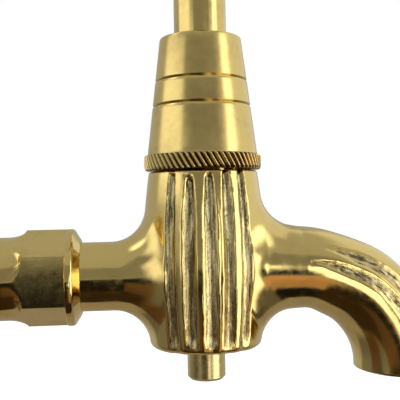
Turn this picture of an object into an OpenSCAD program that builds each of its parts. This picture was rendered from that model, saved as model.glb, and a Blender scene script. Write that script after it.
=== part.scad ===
// Brass plug-cock beer tap with its wall shank, flange and beer-line tail.
// Frame: X = 0 is the face that seats on the tower or wall, +X runs out towards the spout,
// Z = 0 is the centre line of the shank, +Z is up. Millimetres.

/* [Overall] */
// Distance from the wall face to the axis of the plug
reach = 92; // [88:1:110]
// Clear thickness of wall or tower that the shank goes through
wall_gap = 16; // [10:1:18]

/* [Body casting] */
// Largest radius of the fluted barrel
barrel_r = 20.1; // [19.8:0.1:20.6]
// Height of the top of the barrel above the shank centre line
barrel_top = 33.6; // [33:0.1:33.8]
// Depth of the bottom of the barrel below the shank centre line
barrel_bottom = 23.6; // [23:0.2:24]
// Width of the middle flute
flute_w = 4.2; // [3:0.1:4.4]
// Depth of a flute
flute_depth = 1.2; // [0.6:0.1:1.6]
// Radius of the inlet neck
neck_r = 11.2; // [11:0.1:11.3]
// Concave radius where the inlet neck meets the barrel
neck_fillet = 10.3; // [9:0.1:11]

/* [Spout] */
// Outside radius of the spout tube
spout_r = 14.3; // [13.5:0.1:14.5]
// Height of the spout centre line where it leaves the barrel
spout_z = 1.3; // [0:0.1:2]
// Bend radius of the spout centre line
bend_r = 33.6; // [32:0.2:36]
// Distance from the plug axis to the start of the bend
bend_start = 31.5; // [31:0.5:34]
// How far past a quarter turn the spout bends
mouth_past = 3; // [0:0.5:6]
// Radius of the passage inside the bend
passage_r = 10; // [8:0.5:10.5]

/* [Plug and spring] */
// Radius of the plug port and of the passages that it joins
port_r = 5; // [4:0.1:5.5]
// Quarter turn of the plug from shut to open
plug_turn = 90; // [80:1:95]
// Wire diameter of the plug spring
spring_wire = 2.4; // [2:0.1:2.6]
// Coils in the plug spring
spring_coils = 5; // [4:0.5:6]

/* [Bonnet] */
// Radius of the knurled ring
ring_r = 19.2; // [19:0.1:19.6]
// Height of the bonnet from its lower face to its top
bonnet_h = 43.3; // [42:0.1:45]
// Radius of the cone just above the knurled ring
cone_base_r = 18.1; // [17.8:0.1:18.4]
// Radius of the cone at its top
cone_top_r = 13.4; // [13:0.1:14]

/* [Coupling nut] */
// Size across the flats of the coupling nut
nut_flats = 27; // [27:0.5:29]
// How far the nut backs off along the neck
nut_travel = 7; // [5:0.5:7.5]

/* [Handle] */
// Radius of the handle rod
rod_r = 8.6; // [8.4:0.1:8.8]
// Height of the cross bar above the shank centre line
bar_z = 124; // [118:1:140]
// Length of the cross bar between the end caps
bar_l = 92; // [80:1:120]

/* [Flange] */
// Radius of the wall flange
flange_r = 27; // [24:0.5:32]

/* [Hidden] */
$fn = 96;

brass = [0.80, 0.67, 0.36];
pale_brass = [0.78, 0.70, 0.44];
cast_brass = [0.74, 0.62, 0.33];
steel = [0.70, 0.71, 0.72];
rubber = [0.12, 0.12, 0.12];
red_fibre = [0.50, 0.16, 0.12];
wood = [0.33, 0.17, 0.09];

eps = 0.01;          // overlap that keeps cuts clean
run = 0.05;          // radial clearance of a running fit
face = 0.05;         // gap between faces that turn past each other
gap = 0.3;           // gap between parts that only pass near each other

// Barrel profile: a long bulge with its widest point just above the centre line
bulge_z = 4;
bulge_curve = 382;
barrel_steps = 12;
corner_r = 1.8;
function barrel_at(z) = barrel_r - pow(z - bulge_z, 2) / bulge_curve;
function barrel_side(inset, low, high) = [
    for (i = [0 : barrel_steps])
        let (z = low + (high - low) * i / barrel_steps) [barrel_at(z) - inset, z]
];

// Neck and coupling, as distances to the left of the plug axis
neck_end = 55;
neck_root = 31.2;
nut_face = 40.2;         // right end of the nut
hex_right = 44.6;        // where the flats end at the round collar
collar_right = 42.4;     // where the collar starts to round over to the face
hex_left = 57.5;         // where the corners start to fall away to the skirt
skirt_start = 63;
skirt_end = 78;
skirt_r = 13.35;
thread_r = 11.46;        // G 5/8 pipe thread, drawn plain at its crest radius
chamber_r = 12.35;
chamber_from = 45.5;
chamber_to = 56.5;
nut_thread_to = 65;
skirt_bore_r = 12.0;
snap_wire = 1.0;         // radius of the snap ring's wire
snap_at = 47.5;
washer_t = 2.5;
slip_t = 0.8;

// Plug taper, heights on the plug axis
taper_low = -18.5;
taper_high = 30;
taper_low_r = 10;
taper_high_r = 13;
head_r = 13.3;
head_top = 40;
well_floor = -19;
well_r = 13.6;
spigot_r = 16;
spigot_top = 45;
tail_r = 6.25;
tail_low = -34.5;
tail_chamfer = 0.9;
stem_r = 6;
stem_top = 56;
stop_z = 37.8;
stop_r = 1.5;
seal_z = -21.4;
seal_wire = 0.95;
function taper_at(z) =
    taper_low_r + (z - taper_low) * (taper_high_r - taper_low_r) / (taper_high - taper_low);

// Bonnet, heights on the plug axis
bonnet_z = 34;
bonnet_top = bonnet_z + bonnet_h;
ring_h = 5;
bonnet_bore_top = 62;
bonnet_thread_top = 46.5;
spring_room_r = 12.7;
groove_heights = [55.1, 63.3];
groove_d = 0.45;
wiper_z = 71;
wiper_wire = 0.9;
thrust_t = 1.5;
spring_low = head_top + thrust_t + face;
spring_high = bonnet_bore_top - thrust_t - 2 * face;
spring_r = rod_r + spring_wire / 2 + 0.55;

// Handle
socket_top = stem_top + gap;
pin_z = 50;
pin_r = 1.5;
rod_top = bar_z - 9;
hub_r = 13.5;
hub_low = bar_z - 20;
hub_seat = bar_z + hub_r * sin(70);
rod_spigot_r = 5;
finial_r = 2.5;
bar_r = 4;
grip_l = 31;
grip_gap = 0.4;
cap_l = 9;

// Wall side
gasket_t = 1.5;
flange_t = 6.5;
flange_front = gasket_t + flange_t;
collar_l = reach - skirt_end - gap - flange_front;
back_washer_t = 1.5;
back_nut_t = 8;
shank_back = 46;
bore_r = port_r;
back_flats = 30;
tail_washer_t = 2;
tail_flange_t = 3;
tail_flange_r = 10.6;
tail_stem_r = 6.2;
tail_tube_r = 5;
tail_tube_bore = 3.5;
tail_end = 84;
tail_nut_from = 37;
tail_nut_to = 55.5;

mirror_sides = [0, 180];
// Each flute's angle towards the spout, and its width as a share of the middle one's
flutes = [[-38, 0.84], [-19, 0.95], [0, 1], [17.5, 0.92], [35, 0.84]];
flare_root = 6;          // how far a flare runs on inside the barrel

// A turned shape about the shank's axis: the profile's second number runs along +X
module turned_x(profile) {
    rotate([0, 90, 0])
        rotate_extrude()
            polygon(profile);
}

// A turned shape about the plug's axis
module turned_z(profile) {
    translate([reach, 0, 0])
        rotate_extrude()
            polygon(profile);
}

// A plain ring about the shank's axis between two places along X
module ring_x(from, to, outer, inner) {
    turned_x([[inner, from], [outer, from], [outer, to], [inner, to]]);
}

// A plain ring about the plug's axis between two heights
module ring_z(from, to, outer, inner) {
    turned_z([[inner, from], [outer, from], [outer, to], [inner, to]]);
}

// A hexagonal bar along X with a corner at the top
module hex_x(from, to, flats) {
    translate([from, 0, 0])
        rotate([0, 90, 0])
            cylinder(h = to - from, r = flats / sqrt(3), $fn = 6);
}

// Profile of a tube's wall that sweeps out through a quarter arc to a wider wall
function flare_profile(tube, sweep, toward) = concat(
    [[0, 0]],
    [for (a = [0 : 15 : 90]) [tube + sweep * (1 - cos(a)), toward * sweep * sin(a)]],
    [[tube + sweep, toward * (sweep + flare_root)], [0, toward * (sweep + flare_root)]]
);

// Body casting ---------------------------------------------------------------------------

module barrel_solid() {
    low = -barrel_bottom;
    turned_z(concat(
        [[0, low], [barrel_at(low) - corner_r, low]],
        barrel_side(0, low + corner_r, barrel_top - corner_r / 3),
        [[barrel_at(barrel_top) - corner_r / 3, barrel_top], [0, barrel_top]]
    ));
}

// The flutes lie between the barrel's skin and an inner skin one flute depth deeper
module barrel_flutes() {
    flute_top = barrel_top - 1.2;
    outside = barrel_r + 5;
    low = -barrel_bottom - 1;
    intersection() {
        for (side = [-1, 1])
            for (flute = flutes)
                let (w = flute_w * flute[1])
                    translate([reach, 0, 0])
                        rotate([0, 0, side * (90 - flute[0])])
                            translate([0, -w / 2, low])
                                cube([outside, w, flute_top - low]);
        turned_z(concat(
            barrel_side(flute_depth, low, flute_top),
            [[outside, flute_top], [outside, low]]
        ));
    }
}

module neck_solid() {
    flare_squeeze = 0.54;
    ring_x(reach - neck_end, reach, neck_r, 0);
    translate([reach - neck_root, 0, 0])
        scale([1, flare_squeeze, 1])
            turned_x(flare_profile(neck_r, neck_fillet, 1));
}

// Spout tube at a given radius: straight from the barrel, then bent down past a quarter turn.
// The straight is a little thicker, and the bend starts a few degrees inside it.
module spout_run(r, from, past) {
    step = 0.2;
    lap = 3;
    translate([reach + from, 0, spout_z])
        rotate([0, 90, 0])
            cylinder(h = bend_start - from, r = r + step);
    translate([reach + bend_start, 0, spout_z - bend_r])
        rotate([90, 0, 0])
            rotate([0, 0, -past])
                rotate_extrude(angle = 90 + past + lap)
                    translate([bend_r, 0])
                        circle(r = r);
}

module spout_flare() {
    flare_squeeze = 0.62;
    sweep = 8.5;
    translate([reach + bend_start - 1.5, 0, spout_z])
        scale([1, flare_squeeze, 1])
            turned_x(flare_profile(spout_r, sweep, -1));
}

// Shallow grooves along the outer side of the bend
module spout_flutes() {
    groove_r = 1.6;
    groove_at = spout_r + 0.5;
    first_turn = 70;
    for (a = [-78.5, -56, 0, 56, 78.5])
        translate([reach + bend_start, 0, spout_z - bend_r])
            rotate([90, 0, 0])
                rotate([0, 0, -mouth_past - 1])
                    rotate_extrude(angle = first_turn + mouth_past)
                        translate([bend_r + groove_at * cos(a), groove_at * sin(a)])
                            circle(r = groove_r, $fn = 24);
}

module body_passages() {
    port_to = 17;
    // tapered well for the plug, then the straight top that clears the plug's head
    turned_z([
        [0, well_floor], [taper_at(well_floor) + run, well_floor],
        [taper_at(taper_high) + run, taper_high], [well_r, taper_high],
        [well_r, spigot_top + 1], [0, spigot_top + 1]
    ]);
    // tail hole with the groove for its seal
    ring_z(-barrel_bottom - 1, well_floor + 1, tail_r + run, 0);
    translate([reach, 0, seal_z])
        rotate_extrude()
            translate([tail_r + seal_wire, 0])
                circle(r = seal_wire, $fn = 24);
    // inlet and outlet bores
    ring_x(reach - neck_end - 1, reach, port_r, 0);
    ring_x(reach, reach + port_to, port_r, 0);
    spout_run(passage_r, port_to, mouth_past + 1);
    // hole for the stop pin and groove for the snap ring
    translate([reach, 0, stop_z])
        rotate([-90, 0, 0])
            cylinder(h = spigot_r + 1, r = stop_r, $fn = 32);
    snap_groove();
}

module snap_groove() {
    translate([reach - snap_at, 0, 0])
        rotate([0, 90, 0])
            rotate_extrude()
                translate([chamber_r - 0.15 - snap_wire, 0])
                    circle(r = snap_wire, $fn = 24);
}

module tap_body() {
    color(cast_brass)
        difference() {
            union() {
                barrel_solid();
                neck_solid();
                spout_flare();
                spout_run(spout_r, 0, mouth_past);
                ring_z(barrel_top - 1, spigot_top, spigot_r, 0);
            }
            barrel_flutes();
            spout_flutes();
            body_passages();
        }
}

// Radial pin through the spigot wall; it stands in the quadrant slot of the plug's head
module stop_pin() {
    pin_in = 11.4;
    color(steel)
        translate([reach, pin_in, stop_z])
            rotate([-90, 0, 0])
                cylinder(h = spigot_r - 0.2 - pin_in, r = stop_r, $fn = 32);
}

module tail_seal() {
    color(rubber)
        translate([reach, 0, seal_z])
            rotate_extrude()
                translate([tail_r + run + seal_wire, 0])
                    circle(r = seal_wire - run, $fn = 24);
}

// Split ring that stops the coupling nut from leaving the neck
module nut_snap_ring() {
    opening = 3;
    color(steel)
        difference() {
            snap_groove();
            translate([reach - snap_at - 2, -opening / 2, -chamber_r - 2])
                cube([4, opening, chamber_r]);
        }
}

module coupling_washer() {
    color(red_fibre)
        ring_x(reach - neck_end - washer_t, reach - neck_end, 11, bore_r + 0.2);
}

// Coupling nut ----------------------------------------------------------------------------

module coupling_nut() {
    x0 = reach;
    corner_r = nut_flats / sqrt(3);
    color(brass)
        difference() {
            intersection() {
                union() {
                    hex_x(x0 - skirt_start, x0 - hex_right, nut_flats);
                    ring_x(x0 - hex_right, x0 - nut_face, corner_r, 0);
                    ring_x(x0 - skirt_end, x0 - skirt_start + 1, skirt_r, 0);
                }
                // collar rounded over on the right, hollow run-out to the skirt on the left
                turned_x([
                    [0, x0 - skirt_end], [skirt_r - 0.4, x0 - skirt_end],
                    [skirt_r, x0 - skirt_end + 0.4],
                    [skirt_r, x0 - skirt_start], [skirt_r + 0.5, x0 - skirt_start + 1.2],
                    [skirt_r + 1.2, x0 - hex_left - 1.6], [corner_r, x0 - hex_left],
                    [corner_r, x0 - collar_right], [corner_r - 0.8, x0 - collar_right + 0.6],
                    [12.1, x0 - nut_face], [0, x0 - nut_face]
                ]);
            }
            turned_x([
                [0, x0 - skirt_end - 1], [skirt_bore_r, x0 - skirt_end - 1],
                [skirt_bore_r, x0 - nut_thread_to], [thread_r + run, x0 - nut_thread_to],
                [thread_r + run, x0 - chamber_to], [chamber_r, x0 - chamber_to],
                [chamber_r, x0 - chamber_from], [neck_r + run, x0 - chamber_from],
                [neck_r + run, x0 - nut_face + 1], [0, x0 - nut_face + 1]
            ]);
        }
}

// Thin washer between the nut's inner shoulder and the snap ring
module nut_slip_washer() {
    color(pale_brass)
        ring_x(reach - chamber_from - slip_t - face, reach - chamber_from - face,
               chamber_r - 0.1, neck_r + run);
}

// Plug and its spring ---------------------------------------------------------------------

module plug() {
    slot_in = 10.9;
    slot_low = stop_z - stop_r - gap;
    slot_side = asin((stop_r + gap) / ((slot_in + head_r) / 2));
    color(pale_brass)
        difference() {
            turned_z([
                [0, tail_low], [tail_r - tail_chamfer, tail_low],
                [tail_r, tail_low + tail_chamfer],
                [tail_r, taper_low], [taper_low_r, taper_low],
                [taper_high_r, taper_high], [head_r, taper_high],
                [head_r, head_top], [stem_r, head_top],
                [stem_r, stem_top], [0, stem_top]
            ]);
            // port, across the flow while the tap is shut
            translate([reach, -head_r - 1, 0])
                rotate([-90, 0, 0])
                    cylinder(h = 2 * head_r + 2, r = port_r);
            // quadrant slot for the stop pin
            translate([reach, 0, slot_low])
                rotate([0, 0, 90 - plug_turn - slot_side])
                    rotate_extrude(angle = plug_turn + 2 * slot_side)
                        translate([slot_in, 0])
                            square([head_r, head_top]);
            // hole for the pin that holds the rod
            translate([reach - rod_r, 0, pin_z])
                rotate([0, 90, 0])
                    cylinder(h = 2 * rod_r, r = pin_r, $fn = 32);
        }
}

module spring_washer() {
    color(steel)
        ring_z(head_top, head_top + thrust_t, spring_room_r - gap, rod_r + gap);
}

// Height along the spring: the end coils lie almost flat, the middle coils are open
function coil_z(t, lift) = lift * (t - 0.11 * sin(360 * t));
function coil_ring(centre_a, centre_z, sides) = [
    for (k = [0 : sides - 1])
        let (b = 360 * k / sides, r = spring_r + spring_wire / 2 * cos(b))
            [r * cos(centre_a), r * sin(centre_a), centre_z + spring_wire / 2 * sin(b)]
];

module plug_spring() {
    sides = 8;
    steps = 24 * spring_coils;
    lift = spring_high - spring_low - spring_wire;
    points = [
        for (i = [0 : steps])
            each coil_ring(360 * spring_coils * i / steps,
                           spring_low + spring_wire / 2 + coil_z(i / steps, lift), sides)
    ];
    walls = [
        for (i = [0 : steps - 1], k = [0 : sides - 1])
            let (a = i * sides + k, b = i * sides + (k + 1) % sides)
                each [[a, a + sides, b], [b, a + sides, b + sides]]
    ];
    near_end = [for (k = [0 : sides - 1]) k];
    far_end = [for (k = [sides - 1 : -1 : 0]) steps * sides + k];
    color(steel)
        translate([reach, 0, 0])
            polyhedron(points = points, faces = concat(walls, [near_end], [far_end]));
}

module rod_pin() {
    color(steel)
        translate([reach - rod_r + 0.3, 0, pin_z])
            rotate([0, 90, 0])
                cylinder(h = 2 * rod_r - 0.6, r = pin_r, $fn = 32);
}

// Bonnet ----------------------------------------------------------------------------------

function cone_at(z) =
    cone_base_r + (cone_top_r - cone_base_r) * (z - bonnet_z - ring_h) / (bonnet_h - ring_h);

module bonnet_cap() {
    edge = 0.9;
    step = 0.5;
    groove_half = 0.45;
    grooves = [
        for (z = groove_heights)
            each [
                [cone_at(z - groove_half), z - groove_half],
                [cone_at(z) - groove_d, z],
                [cone_at(z + groove_half), z + groove_half]
            ]
    ];
    color(brass)
        difference() {
            turned_z(concat(
                [
                    [0, bonnet_z], [ring_r - edge, bonnet_z], [ring_r, bonnet_z + edge],
                    [ring_r, bonnet_z + ring_h - edge / 2],
                    [ring_r - edge / 2, bonnet_z + ring_h], [cone_base_r + step, bonnet_z + ring_h],
                    [cone_at(bonnet_z + ring_h + step), bonnet_z + ring_h + step]
                ],
                grooves,
                [
                    [cone_at(bonnet_top - edge), bonnet_top - edge],
                    [cone_top_r - edge, bonnet_top], [0, bonnet_top]
                ]
            ));
            turned_z([
                [0, bonnet_z - 1], [spigot_r + run, bonnet_z - 1],
                [spigot_r + run, bonnet_thread_top], [spring_room_r, bonnet_thread_top + 1.5],
                [spring_room_r, bonnet_bore_top], [rod_r + run, bonnet_bore_top],
                [rod_r + run, bonnet_top + 1], [0, bonnet_top + 1]
            ]);
            translate([reach, 0, wiper_z])
                rotate_extrude()
                    translate([rod_r + wiper_wire, 0])
                        circle(r = wiper_wire, $fn = 24);
        }
}

module bonnet_thrust_washer() {
    color(pale_brass)
        ring_z(bonnet_bore_top - thrust_t - face, bonnet_bore_top - face,
               spring_room_r - 0.1, rod_r + run);
}

module stem_wiper() {
    color(rubber)
        translate([reach, 0, wiper_z])
            rotate_extrude()
                translate([rod_r + run + wiper_wire, 0])
                    circle(r = wiper_wire - run, $fn = 24);
}

// Handle ----------------------------------------------------------------------------------

module handle_rod() {
    socket_low = head_top + thrust_t + gap;
    color(pale_brass)
        difference() {
            turned_z([
                [0, socket_low], [rod_r, socket_low], [rod_r, hub_low],
                [rod_spigot_r, hub_low], [rod_spigot_r, rod_top], [0, rod_top]
            ]);
            ring_z(socket_low - 1, socket_top, stem_r, 0);
            translate([reach - rod_r - 1, 0, pin_z])
                rotate([0, 90, 0])
                    cylinder(h = 2 * rod_r + 2, r = pin_r, $fn = 32);
        }
}

// Turned hub: a collar on the rod, a waist, then a ball that the cross bar goes through
module handle_hub() {
    collar_r = rod_r + 2.4;
    waist_r = rod_r - 0.4;
    color(brass)
        difference() {
            union() {
                turned_z([
                    [0, hub_low], [collar_r - 0.8, hub_low], [collar_r, hub_low + 0.8],
                    [collar_r, hub_low + 3.2], [collar_r - 0.8, hub_low + 4],
                    [waist_r, hub_low + 5.6], [waist_r, bar_z - 6], [0, bar_z - 6]
                ]);
                translate([reach, 0, bar_z])
                    sphere(r = hub_r);
            }
            ring_z(hub_low - 1, rod_top, rod_spigot_r, 0);
            translate([reach, -hub_r - 1, bar_z])
                rotate([-90, 0, 0])
                    cylinder(h = 2 * hub_r + 2, r = bar_r, $fn = 48);
            ring_z(bar_z, bar_z + hub_r + 1, finial_r, 0);
            ring_z(hub_seat, bar_z + hub_r + 1, hub_r, 0);
        }
}

// Round-headed screw that locks the cross bar from above
module hub_finial() {
    head_r = 5.2;
    head = [for (a = [0 : 15 : 90]) [head_r * cos(a), hub_seat + 1.4 + 4.6 * sin(a)]];
    color(brass)
        turned_z(concat(
            [
                [0, bar_z + bar_r], [finial_r, bar_z + bar_r],
                [finial_r, hub_seat], [head_r, hub_seat]
            ],
            head
        ));
}

module cross_bar() {
    color(steel)
        translate([reach, -bar_l / 2 - cap_l / 2, bar_z])
            rotate([-90, 0, 0])
                cylinder(h = bar_l + cap_l, r = bar_r, $fn = 48);
}

// One turned grip: a bead at the hub end, a waist and a long swell
module grip_shape() {
    steps = 12;
    swell = [
        for (i = [0 : steps])
            let (t = i / steps) [6.8 + 2.6 * sin(180 * pow(t, 0.8)), 4.5 + t * (grip_l - 4.5)]
    ];
    rotate_extrude()
        polygon(concat(
            [[bar_r, 0], [7.4, 0], [8.2, 0.9], [8.2, 2.4], [7.4, 3.3], [6.6, 3.6]],
            swell,
            [[bar_r, grip_l]]
        ));
}

module handle_grips() {
    first = bar_l / 2 - grip_l;
    color(wood)
        for (side = mirror_sides)
            translate([reach, 0, bar_z])
                rotate([0, 0, side])
                    translate([0, first, 0])
                        rotate([-90, 0, 0])
                            grip_shape();
}

module grip_end_caps() {
    dome = [for (a = [0 : 15 : 90]) [7.2 * cos(a), cap_l - 5 + 5 * sin(a)]];
    color(brass)
        for (side = mirror_sides)
            translate([reach, 0, bar_z])
                rotate([0, 0, side])
                    translate([0, bar_l / 2, 0])
                        rotate([-90, 0, 0])
                            difference() {
                                rotate_extrude()
                                    polygon(concat([[0, 0], [6.6, 0], [7.2, 0.6]], dome));
                                translate([0, 0, -1])
                                    cylinder(h = cap_l / 2 + 1, r = bar_r, $fn = 48);
                            }
}

// Wall side -------------------------------------------------------------------------------

module shank() {
    front = reach - neck_end - washer_t;
    collar_r = 13.35;
    color(pale_brass)
        difference() {
            turned_x([
                [0, -shank_back], [thread_r - 0.8, -shank_back], [thread_r, -shank_back + 0.8],
                [thread_r, flange_front], [collar_r, flange_front],
                [collar_r, flange_front + collar_l],
                [thread_r, flange_front + collar_l],
                [thread_r, front], [0, front]
            ]);
            ring_x(-shank_back - 1, front + 1, bore_r, 0);
        }
}

module wall_flange() {
    edge_t = 2.2;
    hub = 17;
    crown = [
        for (a = [0 : 15 : 90])
            [hub + (flange_r - hub) * cos(a), gasket_t + edge_t + (flange_t - edge_t) * sin(a)]
    ];
    color(brass)
        turned_x(concat([[thread_r, gasket_t], [flange_r, gasket_t]], crown,
                        [[thread_r, flange_front]]));
}

module flange_gasket() {
    color(rubber)
        ring_x(0, gasket_t, flange_r - 2, thread_r + 0.2);
}

module back_washer() {
    color(steel)
        ring_x(-wall_gap - back_washer_t, -wall_gap, 19, thread_r + 0.2);
}

// A hexagonal nut along X with both ends chamfered
module plain_nut(from, to, flats, bore) {
    corner = flats / sqrt(3);
    lead = (corner - flats / 2) * tan(30);
    difference() {
        intersection() {
            hex_x(from, to, flats);
            turned_x([
                [0, from], [flats / 2, from], [corner, from + lead],
                [corner, to - lead], [flats / 2, to], [0, to]
            ]);
        }
        ring_x(from - 1, to + 1, bore, 0);
    }
}

module back_nut() {
    front = -wall_gap - back_washer_t;
    color(brass)
        plain_nut(front - back_nut_t, front, back_flats, thread_r + run);
}

module tailpiece_washer() {
    color(red_fibre)
        ring_x(-shank_back - tail_washer_t, -shank_back, 10.4, bore_r + 0.2);
}

module tailpiece() {
    seat = -shank_back - tail_washer_t;
    under = seat - tail_flange_t;
    stem_end = under - 8;
    color(pale_brass)
        turned_x([
            [tail_tube_bore, -tail_end], [tail_tube_r - 0.8, -tail_end],
            [tail_tube_r, -tail_end + 0.8], [tail_tube_r, stem_end - 1.2],
            [tail_stem_r, stem_end], [tail_stem_r, under],
            [tail_flange_r, under], [tail_flange_r, seat], [tail_tube_bore, seat]
        ]);
}

module tailpiece_nut() {
    under = -shank_back - tail_washer_t - tail_flange_t;
    color(brass)
        difference() {
            plain_nut(-tail_nut_to, -tail_nut_from, nut_flats, tail_stem_r + 0.2);
            ring_x(under - face, -tail_nut_from + 1, thread_r + run, 0);
        }
}

tap_body();
stop_pin();
tail_seal();
nut_snap_ring();
coupling_washer();
shank();
wall_flange();
flange_gasket();
back_washer();
back_nut();
tailpiece();
tailpiece_washer();
tailpiece_nut();
coupling_nut();
nut_slip_washer();
plug();
spring_washer();
plug_spring();
rod_pin();
bonnet_cap();
bonnet_thrust_washer();
stem_wiper();
handle_rod();
handle_hub();
hub_finial();
cross_bar();
handle_grips();
grip_end_caps();
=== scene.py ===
"""Looks for the brass beer tap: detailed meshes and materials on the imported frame."""
import math

import bmesh
import bpy
import numpy as np
from mathutils import Matrix, Vector


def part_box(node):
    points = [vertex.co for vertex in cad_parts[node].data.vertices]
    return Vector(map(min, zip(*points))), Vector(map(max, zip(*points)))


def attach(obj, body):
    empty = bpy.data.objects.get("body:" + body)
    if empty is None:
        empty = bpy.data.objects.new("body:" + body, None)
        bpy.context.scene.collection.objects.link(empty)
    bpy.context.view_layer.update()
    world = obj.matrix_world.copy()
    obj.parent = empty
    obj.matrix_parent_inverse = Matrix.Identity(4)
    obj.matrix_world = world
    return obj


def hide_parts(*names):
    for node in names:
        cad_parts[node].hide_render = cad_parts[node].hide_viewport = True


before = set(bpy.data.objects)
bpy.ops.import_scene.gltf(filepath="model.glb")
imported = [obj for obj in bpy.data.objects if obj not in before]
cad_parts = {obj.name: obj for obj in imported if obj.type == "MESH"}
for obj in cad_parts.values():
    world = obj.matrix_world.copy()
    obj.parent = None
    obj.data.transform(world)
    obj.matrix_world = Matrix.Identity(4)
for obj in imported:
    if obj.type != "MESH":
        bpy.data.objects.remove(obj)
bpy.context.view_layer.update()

MM = 0.001

# Places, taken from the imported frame. Lengths are in millimetres from here on
X, Y, Z = range(3)


def span(node, axis):
    """Where a CAD node starts and ends along an axis."""
    low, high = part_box(node)
    return low[axis] / MM, high[axis] / MM


REACH = sum(span("plug", X)) / 2
AXIS = (REACH, 0, 0)     # where the plug's axis crosses the axis of the neck
SPIGOT_TOP = span("tap_body", Z)[1]
BONNET_Z, BONNET_TOP = span("bonnet_cap", Z)
BARREL_TOP = BONNET_Z - 0.4
BAR_Z = sum(span("cross_bar", Z)) / 2
HUB_FOOT, HUB_TOP = span("handle_hub", Z)
GRIPS_END = span("handle_grips", Y)[1]

# --- Mesh helpers ---


def link(name, data):
    """Puts a new object that shows data in the scene."""
    obj = bpy.data.objects.new(name, data)
    bpy.context.scene.collection.objects.link(obj)
    return obj


def new_object(name, verts_mm, faces):
    """A smooth-shaded mesh object from points in millimetres."""
    mesh = bpy.data.meshes.new(name)
    verts = np.asarray(verts_mm, dtype=float) * MM
    mesh.from_pydata(verts.tolist(), [], faces)
    mesh.validate()
    mesh.update()
    mesh.polygons.foreach_set("use_smooth", [True] * len(mesh.polygons))
    return link(name, mesh)


def give(obj, material):
    """Gives obj this material and no other."""
    obj.data.materials.clear()
    obj.data.materials.append(material)


def piece(obj, material, sharp_deg, body, slot, *nodes):
    """Finishes a piece and fixes it on its body, in place of its CAD nodes. Edges sharper than
    sharp_deg degrees stay crisp; None leaves it smooth all over."""
    give(obj, material)
    if sharp_deg is not None:
        obj.data.set_sharp_from_angle(angle=math.radians(sharp_deg))
    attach(obj, body)
    if nodes:
        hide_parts(*nodes)


def arc(cx, cy, r, start, end, steps=8):
    """Points of an arc in a profile, angles in degrees."""
    return [
        (cx + r * math.cos(math.radians(a)), cy + r * math.sin(math.radians(a)))
        for a in np.linspace(start, end, steps)
    ]


def curve(a, b, c, steps):
    """Points of a curve from a to c that is pulled towards b."""
    a, b, c = (np.array(p, float) for p in (a, b, c))
    return [tuple((1 - t) ** 2 * a + 2 * t * (1 - t) * b + t ** 2 * c)
            for t in np.linspace(0, 1, steps)]


def eased(corners, r):
    """Rounds every corner of a closed outline, starting r before it."""
    out = []
    for i, corner in enumerate(np.array(corners, float)):
        ends = [np.array(corners[(i + k) % len(corners)]) - corner for k in (-1, 1)]
        first, last = (corner + r * end / np.linalg.norm(end) for end in ends)
        out += curve(first, corner, last, 4)
    return out


def turned(name, profile, axis="Z", around=128, skin=None):
    """A turned piece: profile is a closed loop of (radius, height) pairs. around is how many
    steps the turn has, or the turn angles themselves. skin(u, r, h) may change the radius r at
    turn u and height h."""
    prof = np.array(profile, float)
    rows = len(prof)
    even = isinstance(around, int)
    u = np.linspace(0, 2 * math.pi, around, endpoint=False) if even else around
    around = len(u)
    uu, rr = np.meshgrid(u, prof[:, 0], indexing="ij")
    hh = np.repeat(prof[:, 1][None, :], around, axis=0)
    if skin is not None:
        rr = skin(uu, rr, hh)
    x, y, z = rr * np.cos(uu), rr * np.sin(uu), hh
    pts = np.stack([x, y, z], axis=-1).reshape(-1, 3)
    obj = new_object(name, lay(pts, axis), ring_faces(around, rows))
    clean(obj)
    return obj


def ring_faces(around, rows):
    """Quads that join each of around columns of rows points to the next, closed both ways."""
    i, k = np.meshgrid(np.arange(around), np.arange(rows), indexing="ij")
    j, m = (i + 1) % around, (k + 1) % rows
    quads = np.stack([i * rows + k, j * rows + k, j * rows + m, i * rows + m], axis=-1)
    return quads.reshape(-1, 4).tolist()


def lay(pts, axis):
    """Lays points made about Z along the flow (X), along the cross bar (Y) or on the plug's axis."""
    x, y, z = pts.T
    if axis == "X":
        return np.stack([z, y, -x], axis=1)
    if axis == "Y":
        return np.stack([x, z, -y], axis=1) + (REACH, 0, BAR_Z)
    return pts + AXIS


def points_mm(obj):
    """The x, y and z of all of a mesh's points, in millimetres."""
    co = np.zeros(len(obj.data.vertices) * 3)
    obj.data.vertices.foreach_get("co", co)
    return (co.reshape(-1, 3) / MM).T


def mark_points(obj, name, values):
    """Stores one number for each point, for a material to read."""
    mark = obj.data.attributes.new(name, "FLOAT", "POINT")
    mark.data.foreach_set("value", values.astype(np.float32))


def clean(obj, merge=0.002):
    """Merges points that meet on the axis and makes the normals face out."""
    bm = bmesh.new()
    bm.from_mesh(obj.data)
    bmesh.ops.remove_doubles(bm, verts=bm.verts, dist=merge * MM)
    bmesh.ops.dissolve_degenerate(bm, edges=bm.edges, dist=merge * MM * 0.1)
    bmesh.ops.recalc_face_normals(bm, faces=bm.faces)
    bm.to_mesh(obj.data)
    bm.free()
    obj.data.update()


# --- The casting: a distance field with blended joins, meshed by surface nets ---


def round_union(a, b, r):
    """Union of two fields with a concave fillet of radius r."""
    inner = np.sqrt(np.maximum(r - a, 0) ** 2 + np.maximum(r - b, 0) ** 2)
    return np.maximum(r, np.minimum(a, b)) - inner


def round_cut(a, b, r):
    """What a and b share, with the outside edge rounded to radius r."""
    outer = np.sqrt(np.maximum(r + a, 0) ** 2 + np.maximum(r + b, 0) ** 2)
    return np.minimum(-r, np.maximum(a, b)) + outer


def step_in(x, low, high):
    """0 below low, 1 above high, smooth between."""
    t = np.clip((x - low) / (high - low), 0, 1)
    return t * t * (3 - 2 * t)


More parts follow.
